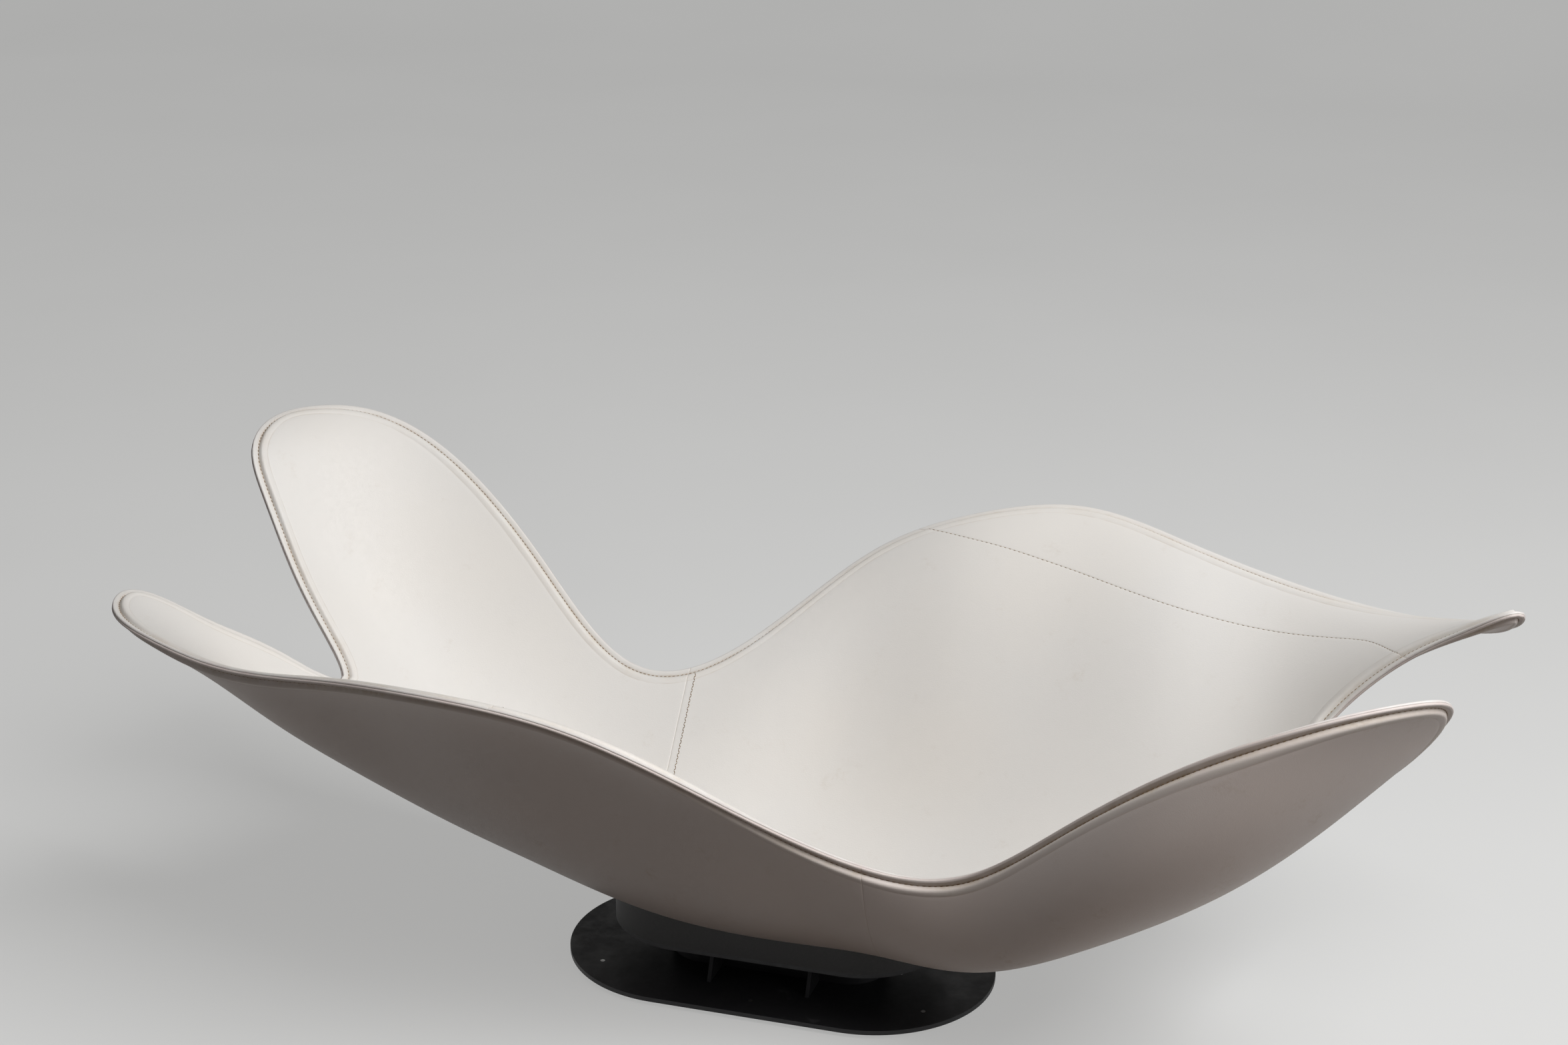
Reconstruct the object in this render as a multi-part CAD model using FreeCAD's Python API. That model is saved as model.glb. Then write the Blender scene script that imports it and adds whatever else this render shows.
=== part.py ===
import FreeCAD, Part
import math
import os

os.makedirs("parts", exist_ok=True)

Vec = FreeCAD.Vector
Vec2 = FreeCAD.Base.Vector2d

# Driving dimension: the length that the carrier surface spans, in mm.
SPAN = 1800.0
REACH = SPAN / 2

# Layers of the shell wall, from the inner leather out.
LEATHER = 0.0009 * SPAN
INNER_FOAM = 0.0025 * SPAN
CORE = 0.0018 * SPAN
OUTER_FOAM = 0.0028 * SPAN
GLUE = 0.00006 * SPAN

SEAM_GAP = 0.0004 * SPAN

# The lip runs from the outline in to the groove, and the padded face starts at the pillow line.
GROOVE_INSET = 0.0040 * SPAN
PILLOW_INSET = 0.0062 * SPAN
FOAM_SETBACK = 0.0006 * SPAN

# Heights of the base stack under the lowest point of the shell.
GLIDE_HEIGHT = 0.0039 * SPAN
FLOOR_PLATE = 0.0034 * SPAN
COLUMN_HEIGHT = 0.0250 * SPAN
TOP_PLATE = 0.0030 * SPAN
CRADLE_LEAST = 0.0060 * SPAN
CRADLE_TALL = 0.0450 * SPAN

# Plan sizes of the base.
FLOOR_LONG = 0.3200 * SPAN
FLOOR_WIDE = 0.1800 * SPAN
TOP_LONG = 0.2500 * SPAN
TOP_WIDE = 0.1250 * SPAN
COLUMN_LONG = 0.1650 * SPAN
COLUMN_WIDE = 0.0600 * SPAN
COLUMN_WALL = 0.0025 * SPAN
RIB_THICK = 0.0028 * SPAN
RIB_OUT = 0.0260 * SPAN
RIB_TOP_OUT = 0.0140 * SPAN

# Fasteners.
BOLT_RADIUS = 0.0028 * SPAN
BOLT_HEAD_RADIUS = 0.0053 * SPAN
BOLT_HEAD = 0.0034 * SPAN
WASHER_RADIUS = 0.0065 * SPAN
WASHER_THICK = 0.0011 * SPAN
BOLT_PLAY = 0.0003 * SPAN
INSERT_RADIUS = 0.0045 * SPAN
INSERT_FLANGE_RADIUS = 0.0066 * SPAN
INSERT_FLANGE = 0.0011 * SPAN
GLIDE_RADIUS = 0.0110 * SPAN
SCREW_RADIUS = 0.0017 * SPAN
SCREW_HEAD_RADIUS = 0.0034 * SPAN
SCREW_HEAD = 0.0014 * SPAN
SCREW_SINK = 0.0012 * SPAN
HEX_SIDES = 6

# Stations run from -1 to 1 along the length, thirteen of them.
# The far rim: how far out, how high, and how the wall stands there, in quarter turns. The near
# half is read from the same tables after half a turn, with a stand of its own.
rim_across_shares = (
    0.119, 0.183, 0.192, 0.1655, 0.1355, 0.158, 0.212, 0.2315, 0.2385, 0.214, 0.187, 0.150, 0.1025)
rim_height_shares = (
    0.289, 0.287, 0.248, 0.179, 0.1145, 0.131, 0.196, 0.2335, 0.246, 0.2355, 0.222, 0.223, 0.241)
keel_height_shares = (
    0.296, 0.191, 0.1045, 0.052, 0.0255, 0.0055, 0.0, 0.0055, 0.0255, 0.052, 0.1045, 0.191, 0.296)
far_turn_shares = (
    0.0, 0.35, 0.55, 0.60, 0.58, 0.50, 0.39, 0.30, 0.30, 0.34, 0.38, 0.04, -0.38)
near_turn_shares = (
    0.30, 0.64, 1.08, 1.23, 0.98, 0.65, 0.39, 0.33, 0.34, 0.38, 0.48, 0.25, -0.15)
floor_fullness_shares = (
    0.54, 0.55, 0.45, 0.39, 0.44, 0.56, 0.62, 0.56, 0.44, 0.39, 0.40, 0.46, 0.46)
WALL_REACH = 0.111 * SPAN

# The outline round each end of the shell, from the long tip through the notch to the upright
# tip, as along and across. The left end is written as seen after half a turn.
right_outline_shares = (
    (0.905, 1.000), (0.945, 1.000), (0.978, 0.985), (0.998, 0.940), (1.004, 0.875), (0.996, 0.810),
    (0.972, 0.760), (0.938, 0.742), (0.900, 0.738), (0.860, 0.710), (0.822, 0.660), (0.783, 0.585),
    (0.750, 0.500), (0.725, 0.390), (0.708, 0.250), (0.698, 0.110), (0.692, 0.000), (0.690, -0.075))
left_outline_shares = (
    (0.790, 1.012), (0.845, 1.026), (0.886, 1.022), (0.914, 1.000), (0.927, 0.955), (0.922, 0.895),
    (0.902, 0.820), (0.874, 0.700), (0.852, 0.540), (0.832, 0.360), (0.808, 0.190), (0.774, 0.060),
    (0.728, -0.020), (0.700, -0.080))
upright_outline_shares = (
    (0.726, -0.138), (0.788, -0.190), (0.834, -0.272), (0.870, -0.402), (0.900, -0.580),
    (0.922, -0.750), (0.936, -0.900), (0.930, -0.982), (0.896, -1.000))
RIM_STEP_COUNT = 18
SAMPLES_PER_STEP = 4

# Cross seams of the leather, and the long seam of the wing.
INNER_SEAM_PLACE = -0.2385
OUTER_SEAM_PLACE = 0.2050
wing_seam_shares = (
    (-0.060, 1.130), (0.020, 1.060), (0.104, 0.975), (0.170, 0.918), (0.236, 0.872), (0.304, 0.832),
    (0.384, 0.812), (0.463, 0.813), (0.531, 0.826), (0.590, 0.838), (0.651, 0.851), (0.712, 0.861),
    (0.765, 0.862), (0.805, 0.845), (0.838, 0.740), (0.870, 0.600), (0.900, 0.460))

# Plan places of the fasteners and ribs, in shares of half the plate or column sizes.
bolt_place_shares = ((-0.80, -0.55), (-0.80, 0.55), (0.0, -0.78), (0.0, 0.78), (0.80, -0.55), (0.80, 0.55))
glide_place_shares = ((-0.76, -0.55), (-0.76, 0.55), (0.0, -0.80), (0.0, 0.80), (0.76, -0.55), (0.76, 0.55))
rib_place_shares = (-0.45, 0.45)
CRADLE_PATCH = (0.30, 0.62)

# Grid of the carrier surface.
ALONG_PATCHES = 54
ACROSS_PATCHES = 34
ALONG_LIMIT = 1.012
ACROSS_LIMIT = 1.040

BASE_HEIGHT = GLIDE_HEIGHT + FLOOR_PLATE + COLUMN_HEIGHT + TOP_PLATE + CRADLE_LEAST
DEPTH_INNER_FOAM = LEATHER
DEPTH_CORE = DEPTH_INNER_FOAM + INNER_FOAM
DEPTH_OUTER_FOAM = DEPTH_CORE + CORE
DEPTH_OUTER_LEATHER = DEPTH_OUTER_FOAM + OUTER_FOAM
WALL = DEPTH_OUTER_LEATHER + LEATHER
KEEL_LIFT = BASE_HEIGHT + WALL


def spline_controls(values):
    """Control values of a uniform cubic spline that passes through the values."""
    controls = list(values)
    for _ in range(40):
        padded = pad_ends(controls)
        controls = [
            control + value - (before + 4 * control + after) / 6
            for control, value, before, after in zip(controls, values, padded, padded[2:])]
    return pad_ends(controls)


def pad_ends(values):
    return [2 * values[0] - values[1]] + list(values) + [2 * values[-1] - values[-2]]


def spline_weights(rest):
    return (
        (1 - rest) ** 3 / 6,
        (3 * rest ** 3 - 6 * rest ** 2 + 4) / 6,
        (-3 * rest ** 3 + 3 * rest ** 2 + 3 * rest + 1) / 6,
        rest ** 3 / 6)


def spline_at(controls, place):
    """Value at a place from -1 to 1 along the stations."""
    steps = len(controls) - 3
    travel = (place + 1) / 2 * steps
    index = min(max(int(math.floor(travel)), 0), steps - 1)
    weights = spline_weights(travel - index)
    return sum(weight * control for weight, control in zip(weights, controls[index:index + 4]))


RIM_ACROSS = spline_controls(rim_across_shares)
RIM_HEIGHT = spline_controls(rim_height_shares)
KEEL_HEIGHT = spline_controls(keel_height_shares)
FAR_TURN = spline_controls(far_turn_shares)
NEAR_TURN = spline_controls(near_turn_shares)
FLOOR_FULLNESS = spline_controls(floor_fullness_shares)


def half_section(along, across, turns):
    """Out and up of the far half of the section, from the keel at 0 to the rim at 1."""
    out = SPAN * spline_at(RIM_ACROSS, along)
    up = SPAN * spline_at(RIM_HEIGHT, along)
    keel = SPAN * spline_at(KEEL_HEIGHT, along)
    turn = spline_at(turns, along) * math.pi / 2
    floor = spline_at(FLOOR_FULLNESS, along) * out
    left = 1 - across
    weights = (left ** 3, 3 * left * left * across, 3 * left * across * across, across ** 3)
    outs = (0, floor, out - WALL_REACH * math.cos(turn), out)
    ups = (keel, keel, up - WALL_REACH * math.sin(turn), up)
    y = sum(weight * value for weight, value in zip(weights, outs))
    z = sum(weight * value for weight, value in zip(weights, ups))
    return y, z


def carrier(along, across):
    """The inner face of the shell. The near half is laid out as seen after half a turn."""
    if across >= 0:
        y, z = half_section(along, across, FAR_TURN)
    else:
        y, z = half_section(-along, -across, NEAR_TURN)
        y = -y
    return Vec(along * REACH, y, z + KEEL_LIFT)


def carrier_frame(along, across):
    """Tangents along and across, per unit of each share, and the upward normal."""
    step = 0.001
    tangent_along = (carrier(along + step, across) - carrier(along - step, across)) / (2 * step)
    tangent_across = (carrier(along, across + step) - carrier(along, across - step)) / (2 * step)
    normal = tangent_along.cross(tangent_across)
    normal.normalize()
    return tangent_along, tangent_across, normal


def deep_point(along, across, depth):
    normal = carrier_frame(along, across)[2]
    return carrier(along, across) - normal * depth


def rim_rows(start, end):
    """Even rows along a long rim, between the last row of one end and the first of the next."""
    rows = []
    for step in range(1, RIM_STEP_COUNT):
        part = step / RIM_STEP_COUNT
        rows.append((-start[0] + (end[0] + start[0]) * part, 1.0))
    return rows


def outline_controls():
    """Closed control polygon: far rim, right end, near rim, left end."""
    right = list(right_outline_shares + upright_outline_shares)
    left = list(left_outline_shares + upright_outline_shares)
    far_and_right = rim_rows(left[-1], right[0]) + right
    near_and_left = rim_rows(right[-1], left[0]) + left
    return far_and_right + [(-along, -across) for along, across in near_and_left]


def closed_spline(controls, samples):
    count = len(controls)
    points = []
    for index in range(count):
        for sample in range(samples):
            weights = spline_weights(sample / samples)
            picked = [controls[(index + shift) % count] for shift in range(4)]
            points.append((
                sum(weight * pick[0] for weight, pick in zip(weights, picked)),
                sum(weight * pick[1] for weight, pick in zip(weights, picked))))
    return points


def open_spline(controls, samples):
    places = closed_spline(controls, samples)
    return places[:(len(controls) - 3) * samples + 1]


def side_step(before, here, after, distance):
    """Move one place of a line sideways over the surface by a distance."""
    tangent_along, tangent_across, normal = carrier_frame(here[0], here[1])
    edge = tangent_along * (after[0] - before[0]) + tangent_across * (after[1] - before[1])
    inward = edge.cross(normal)
    inward.normalize()
    aa = tangent_along.dot(tangent_along)
    ab = tangent_along.dot(tangent_across)
    bb = tangent_across.dot(tangent_across)
    pa = tangent_along.dot(inward)
    pb = tangent_across.dot(inward)
    spread = aa * bb - ab * ab
    return (
        here[0] + distance * (pa * bb - pb * ab) / spread,
        here[1] + distance * (pb * aa - pa * ab) / spread)


def inset_outline(distance):
    """The outline, moved in over the surface by a distance."""
    rows = outline_controls()
    moved = [
        side_step(before, here, after, distance)
        for before, here, after in zip(rows[-1:] + rows, rows, rows[1:] + rows[:1])]
    return closed_spline(moved, SAMPLES_PER_STEP)


def grid_controls(rows):
    """Control net of a surface through a grid of points."""
    def line_controls(line):
        coordinates = [spline_controls([getattr(point, name) for point in line]) for name in "xyz"]
        return [Vec(*triple) for triple in zip(*coordinates)]
    crossed = [line_controls(row) for row in rows]
    turned = [line_controls(column) for column in zip(*crossed)]
    return [list(row) for row in zip(*turned)]


def deep_surface(depth):
    rows = []
    for i in range(ALONG_PATCHES + 1):
        along = ALONG_LIMIT * (2 * i / ALONG_PATCHES - 1)
        row = []
        for j in range(ACROSS_PATCHES + 1):
            across = ACROSS_LIMIT * (2 * j / ACROSS_PATCHES - 1)
            row.append(deep_point(along, across, depth))
        rows.append(row)
    surface = Part.BSplineSurface()
    knots_along = [float(k - 3) for k in range(ALONG_PATCHES + 7)]
    knots_across = [float(k - 3) for k in range(ACROSS_PATCHES + 7)]
    surface.buildFromPolesMultsKnots(
        grid_controls(rows), [1] * len(knots_along), [1] * len(knots_across),
        knots_along, knots_across, False, False, 3, 3)
    surface.segment(0, ALONG_PATCHES, 0, ACROSS_PATCHES)
    return surface


def rail_parameters(places):
    return [float(index) for index in range(len(places) + 1)]


def trimmed_rail(surface, places):
    """A closed edge that lies on a surface."""
    flat = [
        Vec2((along / ALONG_LIMIT + 1) / 2 * ALONG_PATCHES, (across / ACROSS_LIMIT + 1) / 2 * ACROSS_PATCHES)
        for along, across in places]
    curve = Part.Geom2d.BSplineCurve2d()
    curve.interpolate(Points=flat, PeriodicFlag=True, Parameters=rail_parameters(places))
    return curve.toShape(surface)


def free_rail(places, depth):
    points = [deep_point(along, across, depth) for along, across in places]
    curve = Part.BSplineCurve()
    curve.interpolate(Points=points, PeriodicFlag=True, Parameters=rail_parameters(places))
    return curve.toShape()


def ruled(one, two):
    """A ruled face between two edges that run the same way."""
    forward = 1
    return Part.makeRuledSurface(one, two, forward)


def layer_solid(top_depth, bottom_depth, top_inset, bottom_inset, lip_rails):
    """A layer between two trimmed faces, joined by ruled bands through the lip rails."""
    top_surface = deep_surface(top_depth)
    bottom_surface = deep_surface(bottom_depth)
    top_edge = trimmed_rail(top_surface, inset_outline(top_inset))
    bottom_edge = trimmed_rail(bottom_surface, inset_outline(bottom_inset))
    edges = [top_edge]
    edges += [free_rail(inset_outline(inset), depth) for inset, depth in lip_rails]
    edges.append(bottom_edge)
    faces = [
        Part.Face(top_surface, Part.Wire([top_edge])),
        Part.Face(bottom_surface, Part.Wire([bottom_edge]))]
    faces += [ruled(one, two) for one, two in zip(edges, edges[1:])]
    shell = Part.makeShell(faces)
    shell.sewShape()
    solid = Part.makeSolid(shell.Shells[0])
    if solid.Volume < 0:
        solid.reverse()
    return solid


def slab(low, high):
    """A box between two places along the length, far larger than the shell across."""
    return Part.makeBox(high - low, SPAN, SPAN, Vec(low, -REACH, -REACH / 2))


def split_at(solid, place):
    half = SEAM_GAP / 2
    cut = place * REACH
    return solid.common(slab(-SPAN, cut - half)), solid.common(slab(cut + half, SPAN))


def curtain(places, top_depth, bottom_depth, width):
    """A thin upright solid that follows a seam line through the wall."""
    def side(shift, depth):
        moved = []
        for index, here in enumerate(places):
            before = places[max(index - 1, 0)]
            after = places[min(index + 1, len(places) - 1)]
            moved.append(side_step(before, here, after, shift))
        curve = Part.BSplineCurve()
        curve.interpolate([deep_point(along, across, depth) for along, across in moved])
        return curve.toShape()
    rails = [
        side(-width / 2, top_depth), side(width / 2, top_depth),
        side(width / 2, bottom_depth), side(-width / 2, bottom_depth)]
    faces = [ruled(one, two) for one, two in zip(rails, rails[1:] + rails[:1])]
    for end in (0, -1):
        corners = [rail.Vertexes[end].Point for rail in rails]
        faces.append(ruled(
            Part.makeLine(corners[0], corners[1]), Part.makeLine(corners[3], corners[2])))
    shell = Part.makeShell(faces)
    shell.sewShape()
    solid = Part.makeSolid(shell.Shells[0])
    if solid.Volume < 0:
        solid.reverse()
    return solid


def keep_solids(shape):
    """Every solid of a result, biggest first."""
    return sorted(shape.Solids, key=lambda solid: -solid.Volume)


def stadium(length, width, height, bottom):
    """An upright prism with round ends, centred on the axis."""
    radius = width / 2
    straight = length / 2 - radius
    box = Part.makeBox(2 * straight, width, height, Vec(-straight, -radius, bottom))
    ends = [Part.makeCylinder(radius, height, Vec(side * straight, 0, bottom)) for side in (-1, 1)]
    return box.fuse(ends).removeSplitter()


def half_way():
    """Place along the length that is half way between the tips."""
    ends = [
        deep_point(along, across, depth).x
        for along, across in inset_outline(0) for depth in (inner_lip, outer_lip)]
    return (min(ends) + max(ends)) / 2


def save(name, solids):
    shape = solids[0] if len(solids) == 1 else Part.makeCompound(solids)
    shape.translate(middle)
    shape.exportStep("parts/" + name + ".step")
    volume = sum(solid.Volume for solid in solids)
    print(name, len(solids), shape.isValid(), round(volume / 1e6, 4))


def plan_height(x, y, depth):
    """Height of the face at a depth over a place in plan, near the keel."""
    along = x / REACH
    across = 0.0
    for _ in range(12):
        point = deep_point(along, across, depth)
        along += (x - point.x) / REACH
        across += (y - point.y) / carrier_frame(along, across)[1].y
    return deep_point(along, across, depth).z


def room_above(depth):
    """All the space over the middle of the face at a depth."""
    surface = deep_surface(depth)
    along = CRADLE_PATCH[0] / ALONG_LIMIT * ALONG_PATCHES / 2
    across = CRADLE_PATCH[1] / ACROSS_LIMIT * ACROSS_PATCHES / 2
    surface.segment(
        ALONG_PATCHES / 2 - along, ALONG_PATCHES / 2 + along,
        ACROSS_PATCHES / 2 - across, ACROSS_PATCHES / 2 + across)
    return surface.toShape().extrude(Vec(0, 0, REACH))


def post(radius, bottom, top, x, y):
    return Part.makeCylinder(radius, top - bottom, Vec(x, y, bottom))


def hexagon(radius, bottom, height, x, y):
    corners = []
    for side in range(HEX_SIDES + 1):
        angle = 2 * math.pi * side / HEX_SIDES
        corners.append(Vec(x + radius * math.cos(angle), y + radius * math.sin(angle), bottom))
    return Part.Face(Part.makePolygon(corners)).extrude(Vec(0, 0, height))


def plan_places(shares, long, wide):
    return [(along * long / 2, across * wide / 2) for along, across in shares]


def rib(x, side, bottom, top):
    """A gusset from the column wall out to the edge of the plates."""
    wall = COLUMN_WIDE / 2
    profile = ((wall, bottom), (wall + RIB_OUT, bottom), (wall + RIB_TOP_OUT, top), (wall, top))
    corners = [Vec(x - RIB_THICK / 2, side * y, z) for y, z in profile]
    return Part.Face(Part.makePolygon(corners + corners[:1])).extrude(Vec(RIB_THICK, 0, 0))


# Heights of the base stack, from the floor up.
floor_plate_bottom = GLIDE_HEIGHT
column_bottom = floor_plate_bottom + FLOOR_PLATE
top_plate_bottom = column_bottom + COLUMN_HEIGHT
cradle_bottom = top_plate_bottom + TOP_PLATE

# The layers of the shell.
inner_lip = DEPTH_CORE - GLUE - LEATHER
outer_lip = DEPTH_OUTER_FOAM + GLUE + LEATHER
inner_leather = layer_solid(
    0, LEATHER, PILLOW_INSET, PILLOW_INSET + FOAM_SETBACK,
    [(GROOVE_INSET, inner_lip), (0, inner_lip), (0, inner_lip + LEATHER),
     (GROOVE_INSET + FOAM_SETBACK, inner_lip + LEATHER)])
outer_leather = layer_solid(
    WALL - LEATHER, WALL, PILLOW_INSET + FOAM_SETBACK, PILLOW_INSET,
    [(GROOVE_INSET + FOAM_SETBACK, outer_lip - LEATHER), (0, outer_lip - LEATHER), (0, outer_lip),
     (GROOVE_INSET, outer_lip)])
middle = Vec(-half_way(), 0, 0)
inner_foam = layer_solid(
    DEPTH_INNER_FOAM + GLUE, DEPTH_CORE - GLUE,
    PILLOW_INSET + 2 * FOAM_SETBACK, GROOVE_INSET + 3 * FOAM_SETBACK, [])
outer_foam = layer_solid(
    DEPTH_OUTER_FOAM + GLUE, DEPTH_OUTER_LEATHER - GLUE,
    GROOVE_INSET + 3 * FOAM_SETBACK, PILLOW_INSET + 2 * FOAM_SETBACK, [])
core = layer_solid(DEPTH_CORE, DEPTH_OUTER_FOAM, 0, 0, [])

# Threaded inserts hang from the core, with their flanges inside it.
bolt_places = plan_places(bolt_place_shares, TOP_LONG, TOP_WIDE)
inserts = []
insert_rooms = []
bolts = []
washers = []
bolt_holes = []
washer_bottom = top_plate_bottom - WASHER_THICK
for x, y in bolt_places:
    sleeve_bottom = plan_height(x, y, WALL)
    flange_bottom = plan_height(x, y, (DEPTH_CORE + DEPTH_OUTER_FOAM) / 2) - INSERT_FLANGE / 2
    flange_top = flange_bottom + INSERT_FLANGE
    room = post(INSERT_RADIUS, sleeve_bottom, flange_top, x, y).fuse(
        post(INSERT_FLANGE_RADIUS, flange_bottom, flange_top, x, y)).removeSplitter()
    insert_rooms.append(room)
    inserts.append(room.cut(post(BOLT_RADIUS, sleeve_bottom, flange_bottom, x, y)).Solids[0])
    head = hexagon(BOLT_HEAD_RADIUS, washer_bottom - BOLT_HEAD, BOLT_HEAD, x, y)
    shank = post(BOLT_RADIUS, washer_bottom, flange_bottom, x, y)
    bolts.append(head.fuse(shank).removeSplitter().Solids[0])
    washers.append(post(WASHER_RADIUS, washer_bottom, top_plate_bottom, x, y).cut(
        post(BOLT_RADIUS, washer_bottom, top_plate_bottom, x, y)).Solids[0])
    bolt_holes.append(post(BOLT_RADIUS + BOLT_PLAY, top_plate_bottom, sleeve_bottom, x, y))

# The cradle takes the shape of the belly.
cradle = stadium(TOP_LONG, TOP_WIDE, CRADLE_TALL, cradle_bottom)
cradle = cradle.cut(room_above(WALL + GLUE)).cut(insert_rooms + bolt_holes)

# The welded base.
top_plate = stadium(TOP_LONG, TOP_WIDE, TOP_PLATE, top_plate_bottom).cut(bolt_holes)
column = stadium(COLUMN_LONG, COLUMN_WIDE, COLUMN_HEIGHT, column_bottom).cut(stadium(
    COLUMN_LONG - 2 * COLUMN_WALL, COLUMN_WIDE - 2 * COLUMN_WALL, COLUMN_HEIGHT, column_bottom))
ribs = [
    rib(share * COLUMN_LONG / 2, side, column_bottom, top_plate_bottom)
    for share in rib_place_shares for side in (-1, 1)]
glide_places = plan_places(glide_place_shares, FLOOR_LONG, FLOOR_WIDE)
screw_top = column_bottom
screw_holes = [post(SCREW_RADIUS, 0, screw_top, x, y) for x, y in glide_places]
floor_plate = stadium(FLOOR_LONG, FLOOR_WIDE, FLOOR_PLATE, floor_plate_bottom).cut(screw_holes)
glides = []
screws = []
for x, y in glide_places:
    head_bottom = SCREW_SINK
    head_top = SCREW_SINK + SCREW_HEAD
    screw = post(SCREW_HEAD_RADIUS, head_bottom, head_top, x, y).fuse(
        post(SCREW_RADIUS, head_top, screw_top, x, y)).removeSplitter()
    glide = post(GLIDE_RADIUS, 0, floor_plate_bottom, x, y).cut(
        [post(SCREW_HEAD_RADIUS, 0, head_top, x, y), post(SCREW_RADIUS, head_top, floor_plate_bottom, x, y)])
    screws.append(screw.Solids[0])
    glides.append(glide.Solids[0])

# Seams part the leather and the foam.
wing_line = open_spline(wing_seam_shares, SAMPLES_PER_STEP)
wing_cut = curtain(wing_line, -INNER_FOAM, DEPTH_OUTER_FOAM, SEAM_GAP)
head_leather, rest_leather = split_at(inner_leather, INNER_SEAM_PLACE)
seat_leather, wing_leather = keep_solids(rest_leather.cut(wing_cut))[:2]
outer_leather = outer_leather.cut(insert_rooms)
outer_foam = outer_foam.cut(insert_rooms)
outer_long, outer_short = split_at(outer_leather, OUTER_SEAM_PLACE)
foam_outer_long, foam_outer_short = split_at(outer_foam, OUTER_SEAM_PLACE)
foam_head, foam_seat = split_at(inner_foam, INNER_SEAM_PLACE)

save("shell_core", keep_solids(core.cut(insert_rooms)))
save("foam_inner_head", keep_solids(foam_head))
save("foam_inner_seat", keep_solids(foam_seat))
save("foam_outer_long", keep_solids(foam_outer_long))
save("foam_outer_short", keep_solids(foam_outer_short))
save("leather_inner_head", keep_solids(head_leather))
save("leather_inner_seat", [seat_leather])
save("leather_inner_wing", [wing_leather])
save("leather_outer_long", keep_solids(outer_long))
save("leather_outer_short", keep_solids(outer_short))
save("threaded_inserts", inserts)
save("shell_cradle", keep_solids(cradle))
save("shell_bolts", bolts)
save("shell_washers", washers)
save("base_top_plate", keep_solids(top_plate))
save("base_column", keep_solids(column))
save("base_ribs", ribs)
save("base_floor_plate", keep_solids(floor_plate))
save("base_glides", glides)
save("glide_screws", screws)
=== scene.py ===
import math
import random

import bmesh
import bpy
import numpy as np
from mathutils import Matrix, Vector
from mathutils.geometry import delaunay_2d_cdt


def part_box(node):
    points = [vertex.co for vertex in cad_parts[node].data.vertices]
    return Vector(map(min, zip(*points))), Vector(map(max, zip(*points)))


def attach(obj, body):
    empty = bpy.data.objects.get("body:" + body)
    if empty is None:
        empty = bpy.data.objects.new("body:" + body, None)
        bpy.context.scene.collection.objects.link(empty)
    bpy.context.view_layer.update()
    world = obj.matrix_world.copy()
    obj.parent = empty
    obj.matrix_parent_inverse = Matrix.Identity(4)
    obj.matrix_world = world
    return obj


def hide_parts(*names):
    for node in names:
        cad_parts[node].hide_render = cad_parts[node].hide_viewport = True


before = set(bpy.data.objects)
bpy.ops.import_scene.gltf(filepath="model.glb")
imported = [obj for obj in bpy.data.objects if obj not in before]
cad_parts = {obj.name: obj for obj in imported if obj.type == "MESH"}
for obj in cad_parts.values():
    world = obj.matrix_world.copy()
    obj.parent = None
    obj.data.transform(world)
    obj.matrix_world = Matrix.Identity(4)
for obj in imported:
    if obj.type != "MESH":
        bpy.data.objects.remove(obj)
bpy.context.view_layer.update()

# Driving dimension in metres. Every other length is a share of it.
SPAN = 1.8
REACH = SPAN / 2
MM = SPAN / 1800
KEEL_LIFT = 0.0502 * SPAN
WALL_REACH = 0.111 * SPAN
SEED = 7
SPLINE_PASSES = 40
FRAME_STEP = 0.001
TRAVEL_STEP = 0.01
SEAM_SLOPE_STEP = 0.002
CUT_TOLERANCE = 1e-7
SHARP_ANGLE = 48

# Depths of the layers under the inner face.
LEATHER = 1.62 * MM
CORE_TOP = 6.12 * MM
CORE_BOTTOM = 9.36 * MM
WALL = 16.02 * MM
GLUE = 0.11 * MM

# Stations run from -1 to 1 along the length, thirteen of them.
rim_across_shares = (
    0.119, 0.183, 0.192, 0.1655, 0.1355, 0.158, 0.212, 0.2315, 0.2385, 0.214, 0.187, 0.150, 0.1025)
rim_height_shares = (
    0.289, 0.287, 0.248, 0.179, 0.1145, 0.131, 0.196, 0.2335, 0.246, 0.2355, 0.222, 0.223, 0.241)
keel_height_shares = (
    0.296, 0.191, 0.1045, 0.052, 0.0255, 0.0055, 0.0, 0.0055, 0.0255, 0.052, 0.1045, 0.191, 0.296)
far_turn_shares = (
    0.0, 0.35, 0.55, 0.60, 0.58, 0.50, 0.39, 0.30, 0.30, 0.34, 0.38, 0.04, -0.38)
near_turn_shares = (
    0.30, 0.64, 1.08, 1.23, 0.98, 0.65, 0.39, 0.33, 0.34, 0.38, 0.48, 0.25, -0.15)
floor_fullness_shares = (
    0.54, 0.55, 0.45, 0.39, 0.44, 0.56, 0.62, 0.56, 0.44, 0.39, 0.40, 0.46, 0.46)

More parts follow.
